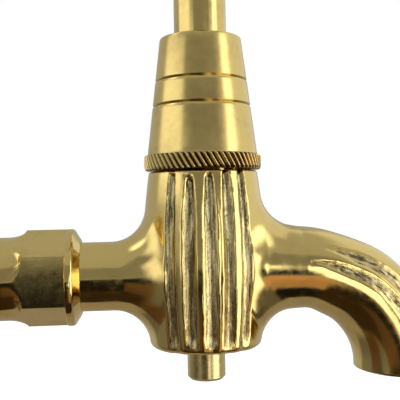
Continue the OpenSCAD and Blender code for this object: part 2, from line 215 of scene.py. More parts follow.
def value_noise(p, scale, seed):
    """Smooth random values from -1 to 1 at points p, with bumps about scale millimetres across."""
    q = p / scale
    cell = np.floor(q).astype(np.int64)
    f = q - cell
    f = f * f * (3 - 2 * f)
    total = np.zeros(len(p))
    for corner in range(8):
        d = np.array([(corner >> k) & 1 for k in range(3)])
        c = cell + d
        h = (c * [374761393, 668265263, 2147483647]).sum(axis=1) + seed * 974711 & 0x7FFFFFFF
        h = ((h ^ (h >> 13)) * 1274126177) & 0x7FFFFFFF
        h = h ^ (h >> 16)
        w = np.prod(np.where(d == 1, f, 1 - f), axis=1)
        total += w * ((h & 0xFFFF) / 32767.5 - 1)
    return total


# Casting sizes, millimetres from the plug axis
BARREL_R = 20.1
BULGE_Z, BULGE_CURVE = 4.0, 382.0
BARREL_LOW = -23.6
BARREL_CORNER = 1.9
NECK_R = 11.2
NECK_END = 55.0
NECK_FILLET = 10.3
NUT_SEAT_TO = -33.5     # the neck is turned true from its end to here, under the nut
SPOUT_Z = 1.3
BEND_X, BEND_R = 31.5, 33.6
BEND_Z = SPOUT_Z - BEND_R
SPOUT_R = 14.5
SPOUT_FILLET = 8.7
# How far the spout's root is drawn out towards the barrel, and how much it grows and rises there
# for each millimetre
ROOT_LENGTH, ROOT_GROWTH, ROOT_RISE = 13, 0.12, 0.06
PORT_R = 5.0
PASSAGE_R = 10.0
PASSAGE_FROM = 17.0
MOUTH_SLOPE = math.tan(math.radians(3.0))
# Flutes on each side of the barrel: angle from square-on towards the spout in degrees, half
# width, and how far below the top each starts to open
FLUTES = [(-38, 1.8, -1.3), (-19, 2.05, 0.4), (0, 2.1, -0.6), (17.5, 1.95, -1.8), (35, 1.8, -2.2)]
FLUTE_DEEP, FLUTE_WOBBLE, FLUTE_ROUGH = 1.3, 0.14, 0.10
# Grooves on the spout: angle round the tube from its outer line, half width, and the bend angle
# where it starts
SPOUT_GROOVES = [(0, 1.8, 74), (56, 2.5, 84), (78.5, 1.95, 88)]
GROOVE_DEEP, GROOVE_WOBBLE, GROOVE_ROUGH = 0.75, 0.3, 0.2
WELL_FLOOR, TAPER_LOW, TAPER_TOP = -19.0, -18.5, 30.0
TAPER_LOW_R, TAPER_TOP_R, WELL_TOP_R = 10.0, 13.0, 13.6
TAIL_R = 6.25
SPIGOT_CORE_R, SPIGOT_FROM = 15.1, 20
SEAT_GAP = 0.05


def barrel_radius(z):
    return BARREL_R - (z - BULGE_Z) ** 2 / BULGE_CURVE


def tube_at(deg):
    """Radius of the spout tube at a bend angle in degrees, and the radius of its centre line. Both
    dip a little just after the root, which is at 90 degrees."""
    tube = SPOUT_R - 1.05 * np.exp(-(((deg - 78) / 24) ** 2))
    mid = BEND_R - 0.6 * np.exp(-(((deg - 68) / 11) ** 2))
    return tube, mid


def bend_place(x, z):
    """Bend angle in degrees and distance from the bend's centre."""
    return np.degrees(np.arctan2(z - BEND_Z, x - BEND_X)), np.hypot(z - BEND_Z, x - BEND_X)


def spout_field(x, y, z):
    """The spout's outer skin: a root that thickens towards the barrel, then the bend."""
    back = np.clip(BEND_X - x, 0, ROOT_LENGTH)
    root_r = tube_at(90.0)[0] + ROOT_GROWTH * back
    root = np.maximum(np.hypot(y, z - SPOUT_Z - ROOT_RISE * back) - root_r, -x)
    deg, rho = bend_place(x, z)
    tube, mid = tube_at(deg)
    return np.where(x <= BEND_X, root, np.hypot(rho - mid, y) - tube)


def casting_skin(x, y, z):
    """The outer skin of the casting, without flutes."""
    side = (np.hypot(x, y) - barrel_radius(z)) * 0.99
    barrel = round_cut(side, z - BARREL_TOP, 0.6)
    barrel = round_cut(barrel, BARREL_LOW - z, BARREL_CORNER)
    neck = np.maximum(np.hypot(y, z) - NECK_R, x)
    fade = 1 - 0.7 * step_in(np.abs(y), 9, 18)     # the fillets shrink round the sides
    both = round_union(barrel, neck, NECK_FILLET * fade)
    both = round_union(both, spout_field(x, y, z), SPOUT_FILLET * fade)
    both = round_cut(both, -NECK_END - x, 0.5)
    mouth = np.where(x > BEND_X + 5, BEND_Z - z - MOUTH_SLOPE * (x - BEND_X), -50.0)
    return round_cut(both, mouth, 0.6)


def scoop(skin, lateral, half, deep):
    """Distance outside a round-bottomed groove that is half wide at the skin each way, and deep."""
    deep = np.maximum(deep, 0.02)
    cutter = (half * half + deep * deep) / (2 * deep)
    return cutter - np.hypot(lateral, skin - (cutter - deep))


def fluted(skin, x, y, z, rough, wobble):
    """Cuts the barrel's flutes and the spout's grooves into the skin."""
    axial = np.hypot(x, y)
    turn = np.arctan2(x, np.abs(y))
    below = BARREL_TOP - 0.9 - z
    run_out = 0.12 + 0.88 * step_in(z, BARREL_LOW, BARREL_LOW + 6)
    out = skin
    on_barrel = (axial < BARREL_R + 6) & (z < BARREL_TOP)
    for angle, wide, start in FLUTES:
        mask = step_in(below - start, 0, 2.6) * run_out
        half = wide * (0.55 + 0.45 * step_in(below - start, 0, 15)) + FLUTE_WOBBLE * wobble
        lateral = axial * np.sin(turn - math.radians(angle))
        left = scoop(skin, lateral, half, (FLUTE_DEEP + FLUTE_ROUGH * rough) * mask)
        out = np.where(on_barrel & (mask > 0), round_cut(out, left, 0.3), out)
    deg, rho = bend_place(x, z)
    tube, mid = tube_at(deg)
    around = np.arctan2(np.abs(y), rho - mid)
    on_bend = (x > BEND_X - 6) & (z > BEND_Z - 4)
    for angle, wide, start in SPOUT_GROOVES:
        lateral = tube * np.sin(around - math.radians(angle))
        this_side = np.abs(around - math.radians(angle)) < 1.2
        lateral = np.where(this_side, lateral, 9.0)
        grow = step_in(start - deg, 0, 22)
        half = np.maximum(wide * (0.25 + 0.75 * grow) + GROOVE_WOBBLE * wobble, 0.2)
        left = scoop(skin, lateral, half, (GROOVE_DEEP + GROOVE_ROUGH * rough) * np.sqrt(grow))
        out = np.where(on_bend & (grow > 0), round_cut(out, left, 0.3), out)
    return out


def casting_hollows(x, y, z):
    """Everything drilled, bored or cored out of the casting."""
    axial = np.hypot(x, y)
    rise = (TAPER_TOP_R - TAPER_LOW_R) / (TAPER_TOP - TAPER_LOW)
    well_r = np.where(z < TAPER_TOP, TAPER_LOW_R + (z - TAPER_LOW) * rise + SEAT_GAP, WELL_TOP_R)
    well = np.maximum(axial - well_r, WELL_FLOOR - z)
    tail = np.maximum(axial - TAIL_R - SEAT_GAP, z)
    port = np.maximum(np.hypot(y, z) - PORT_R, x - PASSAGE_FROM - 1)
    deg, rho = bend_place(x, z)
    bent = np.hypot(rho - tube_at(deg)[1], y)
    passage = np.where(x <= BEND_X, np.hypot(y, z - SPOUT_Z), bent)
    passage = np.maximum(passage - PASSAGE_R, PASSAGE_FROM - x)
    return np.minimum(np.minimum(well, tail), np.minimum(port, passage))


def casting_field(points):
    """Signed distance, in millimetres, of the whole casting."""
    x, y, z = points[:, 0], points[:, 1], points[:, 2]
    skin = casting_skin(x, y, z)
    near = np.abs(skin) < 3     # the noise is only worked out close to the skin
    rough, wobble, wave = (np.zeros(len(points)) for _ in range(3))
    close = points[near]
    along = np.where(np.abs(close[:, 0]) < BEND_X - 8, 0.16, 0.6)
    streaks = np.stack([close[:, 0], close[:, 1], close[:, 2] * along], axis=1)
    rough[near] = value_noise(streaks, 0.9, 3)
    wobble[near] = value_noise(close * [0.7, 0.7, 0.35], 1.6, 11)
    wave[near] = value_noise(close, 9.0, 5) + 0.4 * value_noise(close, 4.0, 6)
    skin = skin + 0.05 * wave * step_in(x, NUT_SEAT_TO, NUT_SEAT_TO + 4)
    solid = fluted(skin, x, y, z, rough, wobble)
    spigot = round_cut(np.hypot(x, y) - SPIGOT_CORE_R, z - SPIGOT_TOP, 0.5)
    solid = np.minimum(solid, np.maximum(spigot, SPIGOT_FROM - z))
    return round_cut(solid, -casting_hollows(x, y, z), 0.35)


def surface_net(field, low, high, step):
    """Meshes the zero surface of a field in a box; the grid is refined only near the surface."""
    coarse, batch = 4, 400000
    cells = [int(math.ceil((h - l) / (step * coarse))) for l, h in zip(low, high)]
    axes_c = [l + step * coarse * (np.arange(n) + 0.5) for l, n in zip(low, cells)]
    grid = np.stack(np.meshgrid(*axes_c, indexing="ij"), axis=-1).reshape(-1, 3)
    fill = field(grid).reshape(cells)
    for axis in range(3):
        fill = np.repeat(fill, coarse, axis=axis)
    todo = np.abs(fill) < step * coarse * 1.6
    axes = [l + step * (np.arange(n * coarse) + 0.5) for l, n in zip(low, cells)]
    ix, iy, iz = np.nonzero(todo)
    pts = np.stack([axes[0][ix], axes[1][iy], axes[2][iz]], axis=1)
    for start in range(0, len(pts), batch):
        part = slice(start, start + batch)
        fill[ix[part], iy[part], iz[part]] = field(pts[part])
    return net_from_grid(fill, axes, field, step)


def net_from_grid(f, axes, field, step):
    """Surface nets on a sampled grid f: its points, settled on the surface, and its quads."""
    inside = f < 0
    n = f.shape
    corner = [(i, j, k) for i in (0, 1) for j in (0, 1) for k in (0, 1)]

    def shifted(a, c):
        return a[c[0]:n[0] - 1 + c[0], c[1]:n[1] - 1 + c[1], c[2]:n[2] - 1 + c[2]]

    count = sum(shifted(inside, c).astype(np.int8) for c in corner)
    active = (count > 0) & (count < 8)
    index = -np.ones(active.shape, dtype=np.int64)
    index[active] = np.arange(active.sum())
    total = np.zeros((active.sum(), 3))
    hits = np.zeros(active.sum())
    for a in corner:
        for axis in range(3):
            if a[axis] == 1:
                continue
            b = tuple(1 if k == axis else a[k] for k in range(3))
            fa, fb = shifted(f, a)[active], shifted(f, b)[active]
            cross = (fa < 0) != (fb < 0)
            t = np.where(cross, fa / np.where(cross, fa - fb, 1), 0)
            for k in range(3):
                place = a[k] + (t if k == axis else 0)
                total[:, k] += np.where(cross, place, 0)
            hits += cross
    where = np.stack(np.nonzero(active), axis=1)
    local = total / hits[:, None]
    start = np.array([ax[0] for ax in axes])
    pts = start + (where + local) * step
    pts = settle(pts, field, step)
    quads = []
    for axis in range(3):
        u, v = [k for k in range(3) if k != axis]
        lo = [slice(1, n[k] - 1) for k in range(3)]
        lo[axis] = slice(0, n[axis] - 1)
        hi = list(lo)
        hi[axis] = slice(1, n[axis])
        here, there = inside[tuple(lo)], inside[tuple(hi)]
        at = np.stack(np.nonzero(here != there), axis=1)
        flip = here[tuple(at.T)]
        base = at + np.array([s.start for s in lo])
        ring = []
        for du, dv in ((-1, -1), (0, -1), (0, 0), (-1, 0)):
            c = base.copy()
            c[:, u] += du
            c[:, v] += dv
            ring.append(index[c[:, 0], c[:, 1], c[:, 2]])
        ring = np.stack(ring, axis=1)
        if axis == 1:
            flip = ~flip
        ring[~flip] = ring[~flip][:, ::-1]
        quads.append(ring)
    return pts, np.concatenate(quads)


def settle(pts, field, step):
    """Moves points along the field's slope onto its zero surface, in two steps."""
    h = 0.05
    ways = h * np.eye(3)
    for _ in range(2):
        value = field(pts)
        slope = np.stack([(field(pts + w) - field(pts - w)) / (2 * h) for w in ways], axis=1)
        size = np.maximum((slope ** 2).sum(axis=1), 0.25)
        move = -value[:, None] * slope / size[:, None]
        length = np.linalg.norm(move, axis=1)
        limit = np.minimum(1, 0.4 * step / np.maximum(length, 1e-9))
        pts = pts + move * limit[:, None]
    return pts


# --- Materials ---


def add(tree, kind, settings=None, **inputs):
    """Adds a shader node; an input is a value or another node's output socket. The helpers below
    take the tree from the first socket they are given."""
    node = tree.nodes.new("ShaderNode" + kind)
    for key, value in (settings or {}).items():
        setattr(node, key, value)
    for key, value in inputs.items():
        by_number = key[1:].isdigit()
        socket = node.inputs[int(key[1:]) if by_number else key.replace("_", " ")]
        if isinstance(value, bpy.types.NodeSocket):
            tree.links.new(value, socket)
        else:
            socket.default_value = value
    return node


def math_node(operation, a, b=0.0):
    return add(a.id_data, "Math", {"operation": operation}, i0=a, i1=b).outputs[0]


def times(product, *values):
    """All the values multiplied together."""
    for value in values:
        product = math_node("MULTIPLY", product, value)
    return product


def plus(total, *values):
    """All the values added up."""
    for value in values:
        total = math_node("ADD", total, value)
    return total


def parts(vector):
    """The x, y and z of a vector."""
    return add(vector.id_data, "SeparateXYZ", Vector=vector).outputs


def marked(mat, name):
    """The number that mark_points stored under this name."""
    return add(mat.node_tree, "Attribute", {"attribute_name": name}).outputs["Fac"]


def noise(place, scale, detail=3.0, rough=0.55, stretch=None):
    """Noise with bumps about 1/scale millimetres across."""
    tree = place.id_data
    if stretch is not None:
        how = {"operation": "MULTIPLY"}
        place = add(tree, "VectorMath", how, i0=place, i1=stretch).outputs[0]
    node = add(tree, "TexNoise",
               Vector=place, Scale=scale, Detail=detail, Roughness=rough)
    return node.outputs[0]


def lines(value, scale):
    """Noise along one value: fine lines across it."""
    node = add(value.id_data, "TexNoise", {"noise_dimensions": "1D"},
               W=value, Scale=scale, Detail=4.0)
    return node.outputs[0]


def ramp(value, low, high, to_low=0.0, to_high=1.0):
    """Maps value from low..high to to_low..to_high, smoothly."""
    node = add(
        value.id_data, "MapRange", {"interpolation_type": "SMOOTHSTEP"},
        Value=value, From_Min=low, From_Max=high, To_Min=to_low, To_Max=to_high,
    )
    return node.outputs[0]


def tint(factor, a, b):
    """Colour a where factor is 0, b where it is 1."""
    tree = factor.id_data
    node = add(tree, "Mix", {"data_type": "RGBA"}, i0=factor)
    for at, value in ((6, a), (7, b)):
        if isinstance(value, bpy.types.NodeSocket):
            tree.links.new(value, node.inputs[at])
        else:
            node.inputs[at].default_value = (*value, 1.0)
    return node.outputs[2]


def bump(height, distance, under=None):
    """A bump whose height of 1 stands distance millimetres high."""
    beneath = {} if under is None else {"Normal": under}
    node = add(height.id_data, "Bump",
               Height=height, Distance=distance * MM, Strength=1.0, **beneath)
    return node.outputs[0]


def start_material(name):
    """A new material, and the place on the piece in millimetres as a socket."""
    mat = bpy.data.materials.new(name)
    mat.use_nodes = True
    tree = mat.node_tree
    place = add(tree, "TexCoord").outputs["Object"]
    how = {"operation": "SCALE"}
    in_mm = add(tree, "VectorMath", how, i0=place, Scale=1 / MM)
    return mat, in_mm.outputs[0]


def dress(mat, colour, rough, normal, metallic=1.0):
    """Feeds a material's colour, roughness and normal to its shader."""
    shader = mat.node_tree.nodes["Principled BSDF"]
    shader.inputs["Metallic"].default_value = metallic
    for name, value in (("Base Color", colour), ("Roughness", rough), ("Normal", normal)):
        mat.node_tree.links.new(value, shader.inputs[name])
    return mat


BRASS = (0.80, 0.60, 0.215)
PALE = (0.80, 0.63, 0.28)
TARNISH = (0.52, 0.36, 0.13)
DIRT = (0.16, 0.105, 0.05)
# Painted shade: a near-black brown laid into the bonnet's knurl valleys and cone grooves
HOLLOW_SHADE = (0.055, 0.04, 0.02)
# Skin as cast, at the foot and the top of the barrel, and on the spout; the foot is painted lighter as
# a painted reflection and the top darker as painted shade
WORN_LIT_LOW, WORN_SHADED_TOP, WORN_SPOUT = (0.86, 0.70, 0.34), (0.66, 0.55, 0.28), (0.80, 0.65, 0.33)
# Dark streaks in the as-cast skin, with the same painted reflection at the foot and painted shade at
# the top
DEEP_LIT_LOW, DEEP_SHADED_TOP = (0.18, 0.135, 0.055), (0.085, 0.068, 0.028)


def brass(name, along, colour=BRASS, rough=(0.10, 0.2), marks=1.0, tarnish=0.35):
    """Turned and polished brass; along is the axis that the piece was turned about."""
    mat, place = start_material(name)
    cloud = noise(place, 0.09, 4.0)
    spots = noise(place, 0.55, 5.0, 0.6)
    stain = ramp(plus(cloud, times(spots, 0.35)), 0.62, 0.86)
    pits = ramp(noise(place, 2.6, 2.0), 0.735, 0.78)
    shade_of = tint(times(stain, tarnish), colour, TARNISH)
    shade_of = tint(times(pits, 0.55), shade_of, DIRT)
    # painted shade in the hollows that the bonnet marks: its knurl valleys and groove bottoms
    shade_of = tint(marked(mat, "hollow_shade"), shade_of, HOLLOW_SHADE)
    # turning marks: fine rings round the axis, with some wavering
    waver = times(noise(place, 0.25, 2.0), 0.5)
    rings = lines(plus(parts(place)[along], waver), 7.0)
    rub = noise(place, 0.35, 4.0, 0.65)
    level = plus(times(rub, 0.7), times(rings, 0.3))
    normal = bump(rings, 0.006 * marks)
    normal = bump(noise(place, 0.5, 2.0), 0.004, under=normal)
    normal = bump(pits, -0.02, under=normal)
    return dress(mat, shade_of, ramp(level, 0.32, 0.68, *rough), normal)


def cast_brass():
    """Sand-cast brass: dressed and polished outside, rough and dark where the flutes are as cast. The
    as-cast skin carries painted light low down and painted shade towards the top.
    """
    mat, place = start_material("cast_brass")
    tree = mat.node_tree
    x, y, z = parts(place)
    raw = marked(mat, "as_cast")
    stain = ramp(noise(place, 0.07, 5.0, 0.6), 0.45, 0.75)
    pits = ramp(noise(place, 1.9, 3.0, 0.6), 0.715, 0.77)
    land = tint(times(stain, 0.4), BRASS, TARNISH)
    land = tint(times(pits, 0.5), land, DIRT)
    # streaks run down the barrel's flutes, and round the bend in the spout's grooves
    fine = noise(place, 1.6, 3.0, 0.6, stretch=(1.0, 1.0, 0.03))
    broad = noise(place, 0.55, 2.0, 0.5, stretch=(1.0, 1.0, 0.10))
    speck = noise(place, 3.4, 2.0, 0.7, stretch=(1.0, 1.0, 0.3))
    streak = plus(times(fine, 0.4), times(broad, 0.3), times(speck, 0.3))
    bend_x = math_node("SUBTRACT", x, REACH + BEND_X)
    bend_z = math_node("SUBTRACT", z, BEND_Z)
    along = times(math_node("ARCTAN2", bend_z, bend_x), BEND_R)
    out = add(tree, "VectorMath", {"operation": "LENGTH"},
              i0=add(tree, "CombineXYZ", i0=bend_x, i1=bend_z).outputs[0]).outputs[1]
    round_bend = add(tree, "CombineXYZ", i0=along, i1=y, i2=out).outputs[0]
    curved = noise(round_bend, 1.3, 4.0, 0.7, stretch=(0.16, 1.0, 1.0))
    on_spout = ramp(x, REACH + 22, REACH + 27)
    how = {"data_type": "FLOAT"}
    grit = add(tree, "Mix", how, i0=on_spout, i2=streak, i3=curved).outputs[0]
    # painted light and shade: the as-cast skin runs from a lighter painted reflection at the foot to
    # darker painted shade at the top
    upper = ramp(z, -12, 26)
    worn_lit_and_shaded = tint(on_spout, tint(upper, WORN_LIT_LOW, WORN_SHADED_TOP), WORN_SPOUT)
    deep = tint(upper, DEEP_LIT_LOW, DEEP_SHADED_TOP)
    crust_lit_and_shaded = tint(ramp(grit, 0.42, 0.58), deep, worn_lit_and_shaded)
    polished = ramp(noise(place, 0.3, 4.0, 0.6), 0.3, 0.7, 0.09, 0.19)
    rough = plus(times(raw, 0.18), polished)
    normal = bump(noise(place, 0.4, 2.0), 0.014)
    normal = bump(pits, -0.04, under=normal)
    normal = bump(times(grit, raw), 0.16, under=normal)
    return dress(mat, tint(raw, land, crust_lit_and_shaded), rough, normal)


def steel(name, along):
    mat, place = start_material(name)
    drawn = lines(parts(place)[along], 5.0)
    cloud = noise(place, 0.3, 4.0)
    colour = tint(cloud, (0.60, 0.60, 0.59), (0.47, 0.47, 0.47))
    return dress(mat, colour, ramp(cloud, 0.3, 0.7, 0.18, 0.34), bump(drawn, 0.006))


def rubber():
    mat, place = start_material("black_rubber")
    bloom = noise(place, 0.4, 4.0)
    colour = tint(bloom, (0.018, 0.018, 0.018), (0.045, 0.044, 0.042))
    grain = bump(noise(place, 5.0, 3.0), 0.02)
    return dress(mat, colour, ramp(bloom, 0.3, 0.7, 0.5, 0.72), grain, 0.0)


def fibre():
    mat, place = start_material("red_fibre")
    fleck = noise(place, 2.2, 5.0, 0.7)
    colour = tint(fleck, (0.13, 0.018, 0.012), (0.26, 0.05, 0.03))
    return dress(mat, colour, ramp(fleck, 0.3, 0.7, 0.45, 0.65), bump(fleck, 0.03), 0.0)


def wood():
    """Dark oiled hardwood with its grain along Y."""
    mat, place = start_material("dark_hardwood")
    grain = noise(place, 0.55, 5.0, 0.6, stretch=(1.0, 0.10, 1.0))
    pores = noise(place, 3.2, 3.0, 0.6, stretch=(1.0, 0.06, 1.0))
    figure = noise(place, 0.12, 3.0, stretch=(1.0, 0.3, 1.0))
    tone = plus(times(grain, 0.7), times(figure, 0.3))
    colour = tint(ramp(tone, 0.36, 0.64), (0.024, 0.009, 0.0045), (0.115, 0.042, 0.016))
    open_pores = ramp(pores, 0.60, 0.70)
    colour = tint(times(open_pores, 0.7), colour, (0.008, 0.004, 0.003))
    normal = bump(open_pores, -0.06, under=bump(grain, 0.04))
    dress(mat, colour, ramp(grain, 0.3, 0.7, 0.24, 0.42), normal, 0.0)
    shader = mat.node_tree.nodes["Principled BSDF"]
    shader.inputs["Coat Weight"].default_value = 0.25
    shader.inputs["Coat Roughness"].default_value = 0.2
    return mat


CAST = cast_brass()
TURNED_Z = brass("polished_brass_upright", Z)
TURNED_X = brass("polished_brass_level", X, rough=(0.06, 0.13))
TURNED_Y = brass("polished_brass_across", Y)
BRUSHED_Z = brass("brushed_brass_upright", Z, rough=(0.17, 0.25))
SATIN_Z = brass("turned_brass_upright", Z, PALE, (0.2, 0.34), 1.4)
SATIN_X = brass("turned_brass_level", X, PALE, (0.22, 0.36), 1.6, 0.4)
STEEL_X = steel("stainless_level", X)
STEEL_Y = steel("stainless_across", Y)
STEEL_Z = steel("stainless_upright", Z)
RUBBER, FIBRE, WOOD = rubber(), fibre(), wood()

# --- Body casting ---

THREAD_R, THREAD_BORE_R, THREAD_PITCH = 11.46, 11.51, 1.814     # shank and nuts
SPIGOT_CREST_R, SPIGOT_ROOT_R, SPIGOT_PITCH = 16.0, 15.0, 1.5


def casting():
    """The barrel, neck and spout; as_cast marks the skin that was never dressed."""
    step, margin = 0.5, 2
    low, high = np.transpose([span("tap_body", axis) for axis in (X, Y, Z)]) - AXIS
    pts, quads = surface_net(casting_field, low - margin, high + margin, step)
    obj = new_object("tap_body_casting", pts + AXIS, quads.tolist())
    clean(obj, 0.0005)
    x, y, z = points_mm(obj)
    x = x - REACH
    cut_in = step_in(-casting_skin(x, y, z), 0.3, 0.62)
    inside = step_in(-casting_hollows(x, y, z), -0.4, 0.1)
    raw = np.maximum(cut_in * (1 - inside), inside * (x > PASSAGE_FROM) * 0.8)
    mark_points(obj, "as_cast", raw)
    piece(obj, CAST, None, "tap", "cast_brass", "tap_body")


def thread_wave(u, h, pitch):
    """1 on a thread's crest, 0 in its root; right-handed."""
    t = (h / pitch - u / (2 * math.pi)) % 1.0
    return np.clip(1.35 - 2.7 * np.abs(t - 0.5), 0, 1)


def thread_rows(start, end, pitch):
    """Heights along a thread, eight to a turn."""
    return np.linspace(start, end, int(abs(end - start) / pitch * 8) + 1)


def spigot_thread():
    crest, root = SPIGOT_CREST_R, SPIGOT_ROOT_R
    rows = thread_rows(BARREL_TOP + 0.9, SPIGOT_TOP, SPIGOT_PITCH)
    profile = [(root - 0.6, rows[-1])] + [(crest, h) for h in rows[::-1]] + [(root - 0.6, rows[0])]

    def skin(u, r, h):
        fade = step_in(h, rows[0], rows[0] + 1.5) * step_in(rows[-1] - h, 0, 0.8)
        cut = root + (crest - root) * thread_wave(u, h, SPIGOT_PITCH) * fade
        return np.where(r > root, cut, r)

    obj = turned("spigot_thread", profile, around=144, skin=skin)
    piece(obj, SATIN_Z, 40, "tap", "turned_brass")


casting()
spigot_thread()

# --- Bonnet ---

RING_R, RING_H = 19.2, 5.0
CONE_LOW_R, CONE_TOP_R = 18.1, 13.4
GROOVES_Z = (55.1, 63.3)
ROD_R = np.ptp(span("handle_rod", X)) / 2
KNURLS, KNURL_DEEP, KNURL_LEAN = 63, 0.75, 0.60


def cone_at(z):
    rise = BONNET_TOP - BONNET_Z - RING_H
    return CONE_LOW_R + (CONE_TOP_R - CONE_LOW_R) * (z - BONNET_Z - RING_H) / rise


def bonnet():
    """Tapered cap with two V grooves above a ring with slanting knurls."""
    ring_top = BONNET_Z + RING_H
    outside = arc(RING_R - 1.0, BONNET_Z + 1.0, 1.0, -90, 0, 7)
    outside += [(RING_R, z) for z in np.linspace(BONNET_Z + 1.2, ring_top - 0.7, 14)]
    outside += arc(RING_R - 0.55, ring_top - 0.55, 0.55, 0, 90, 5)
    outside += [(CONE_LOW_R + 0.3, ring_top), (CONE_LOW_R + 0.05, ring_top + 0.08),
                (cone_at(ring_top + 0.4), ring_top + 0.4)]
    cone = [(cone_at(z), z) for z in np.linspace(ring_top + 2, BONNET_TOP - 0.7, 18)]
    for z in GROOVES_Z:
        cone += [(cone_at(z + side * 0.6), z + side * 0.6) for side in (-1, 1)]
        cone += [(cone_at(z) - 0.06, z + side * 0.42) for side in (-1, 1)]
        cone += [(cone_at(z) - 0.5, z)]
    outside += sorted(cone, key=lambda p: p[1])
    outside += arc(CONE_TOP_R - 0.4, BONNET_TOP - 0.4, 0.4, 8, 90, 5)
    bore = ROD_R + 0.05
    inside = [(bore + 0.5, BONNET_TOP), (bore, BONNET_TOP - 0.5), (bore, 62), (12.7, 62),
              (12.7, 48), (16.05, 46.5), (16.05, BONNET_Z + 0.8), (16.6, BONNET_Z)]

    def skin(u, r, h):
        lean = (h - BONNET_Z) * KNURL_LEAN / RING_R
        t = ((u + lean) * KNURLS / (2 * math.pi)) % 1.0
        cut = np.clip(1.25 - np.abs(t - 0.5) / 0.31, 0, 1)
        on_ring = (r > CONE_LOW_R + 0.4) & (h < ring_top + 0.01)
        fade = step_in(r, CONE_LOW_R + 0.3, RING_R - 0.1)
        return np.where(on_ring, r - KNURL_DEEP * cut * fade, r)

    obj = turned("bonnet_cap_shell", outside + inside, around=KNURLS * 8, skin=skin)
    x, y, z = points_mm(obj)
    r = np.hypot(x - REACH, y)
    # Painted shade: the knurl valleys, and more lightly the bottoms of the cone's grooves, are marked
    # to be darkened
    knurl_shade = (z < ring_top) * step_in(RING_R - r, 0.25, 0.6) * (r > SPIGOT_CORE_R + 2)
    on_cone = (z > ring_top + 2) * (r > cone_at(z) - 1)
    groove_shade = 0.4 * on_cone * step_in(cone_at(z) - r, 0.28, 0.5)
    mark_points(obj, "hollow_shade", np.maximum(knurl_shade, groove_shade))
    piece(obj, BRUSHED_Z, 35, "bonnet", "polished_brass", "bonnet_cap")


bonnet()

# --- Nuts ---


SPANNER, BACK_SPANNER = 27.0, 30.0


def hex_turns():
    """Turn angles that crowd near the six corners."""
    half = [0, 0.35, 0.7, 1.1, 1.6, 2.4, 4, 7, 11, 16, 22, 30]     # degrees from a corner
    sector = sorted(half + [60 - a for a in half[1:-1]])
    return np.radians([60 * k + a for k in range(6) for a in sector])


def hex_skin(flats, flats_end=math.inf):
    """Cuts six flats on a turned outside up to flats_end; corners fall at turn 0, 60, ..."""
    apothem, ease = flats / 2, 0.12

    def skin(u, r, h):
        turn = np.mod(u, math.pi / 3) - math.pi / 6
        flat = apothem / np.cos(turn)
        both = np.maximum(ease - np.abs(r - flat), 0) / ease
        cut = np.minimum(r, flat) - both * both * ease / 4
        return np.where((r > apothem - 1.5) & (h < flats_end), cut, r)

    return skin


def stepped(a, b, steps):
    """Points from a to b, without b."""
    a, b = np.array(a), np.array(b)
    return [tuple(a + (b - a) * t) for t in np.linspace(0, 1, steps, endpoint=False)]


def nut(name, start, end, flats, inside):
    """A plain hexagonal nut along X with a 30 degree chamfer at both ends."""
    corner, face_r = flats / math.sqrt(3) + 0.05, flats / 2 - 0.35
    lead = (corner - face_r) * math.tan(math.radians(30))
    outside = stepped((face_r, end), (corner, end - lead), 14) + [(corner, end - lead)]
    outside += stepped((corner, start + lead), (face_r, start), 14) + [(face_r, start)]
    return turned(name, outside + inside, "X", hex_turns(), hex_skin(flats))


def coupling_nut():
    """Round collar at the right, then a hexagon with a hollow run-out to a round skirt at the left."""
    start, end = span("coupling_nut", X)
    corner, skirt = 15.64, 13.35
    hex_from, hex_to = REACH - 57.5, REACH - 44.6
    round_from, slope_from = REACH - 43.0, REACH - 41.9
    slope_top = (corner - 0.8, slope_from)
    outside = stepped((12.1, end), slope_top, 8)
    outside += curve(slope_top, (corner - 0.1, slope_from - 0.35), (corner, round_from), 8)
    outside += [(corner, hex_to + 0.25), (corner - 0.2, hex_to + 0.03), (corner - 0.25, hex_to)]
    outside += [(corner, hex_to - 0.001), (corner, hex_from)]
    hollow = 6.0
    for a in np.linspace(6, 90, 14):
        t = math.radians(a)
        r = skirt + (corner - skirt) * (1 - math.sin(t))
        outside.append((r, hex_from - hollow * (1 - math.cos(t))))
    outside += [(skirt, REACH - 64.5), (skirt, start + 0.5), (skirt - 0.15, start + 0.15),
                (skirt - 0.5, start)]
    thread_from, chamber_from, lip_from = REACH - 65, REACH - 56.5, REACH - 45.5
    inside = [(12.3, start), (12.0, start + 0.4), (12.0, thread_from),
              (THREAD_BORE_R, thread_from), (THREAD_BORE_R, chamber_from),
              (12.35, chamber_from), (12.35, lip_from), (11.3, lip_from),
              (11.3, end - 0.4), (11.65, end)]
    skin = hex_skin(SPANNER, hex_to - 0.0005)
    obj = turned("coupling_nut_hex", outside + inside, "X", hex_turns(), skin)
    piece(obj, TURNED_X, 22, "coupling", "polished_brass", "coupling_nut")


def back_nut():
    start, end = span("back_nut", X)
    rows = thread_rows(start + 0.6, end - 0.6, THREAD_PITCH)
    lead_r = THREAD_BORE_R + 0.7
    inside = [(lead_r, start)] + [(THREAD_BORE_R, h) for h in rows] + [(lead_r, end)]
    obj = nut("back_nut_hex", start, end, BACK_SPANNER, inside)
    piece(obj, TURNED_X, 22, "wall_nut", "polished_brass", "back_nut")


def tail_nut():
    start, end = span("tailpiece_nut", X)
    shoulder = -51.05
    inside = [(6.7, start), (6.4, start + 0.3), (6.4, shoulder), (THREAD_BORE_R, shoulder),
              (THREAD_BORE_R, end - 0.6), (12.1, end)]
    obj = nut("tailpiece_nut_hex", start, end, SPANNER, inside)
    piece(obj, TURNED_X, 22, "tail_nut", "polished_brass", "tailpiece_nut")


coupling_nut()
back_nut()
tail_nut()

# --- Shank, flange and tail ---

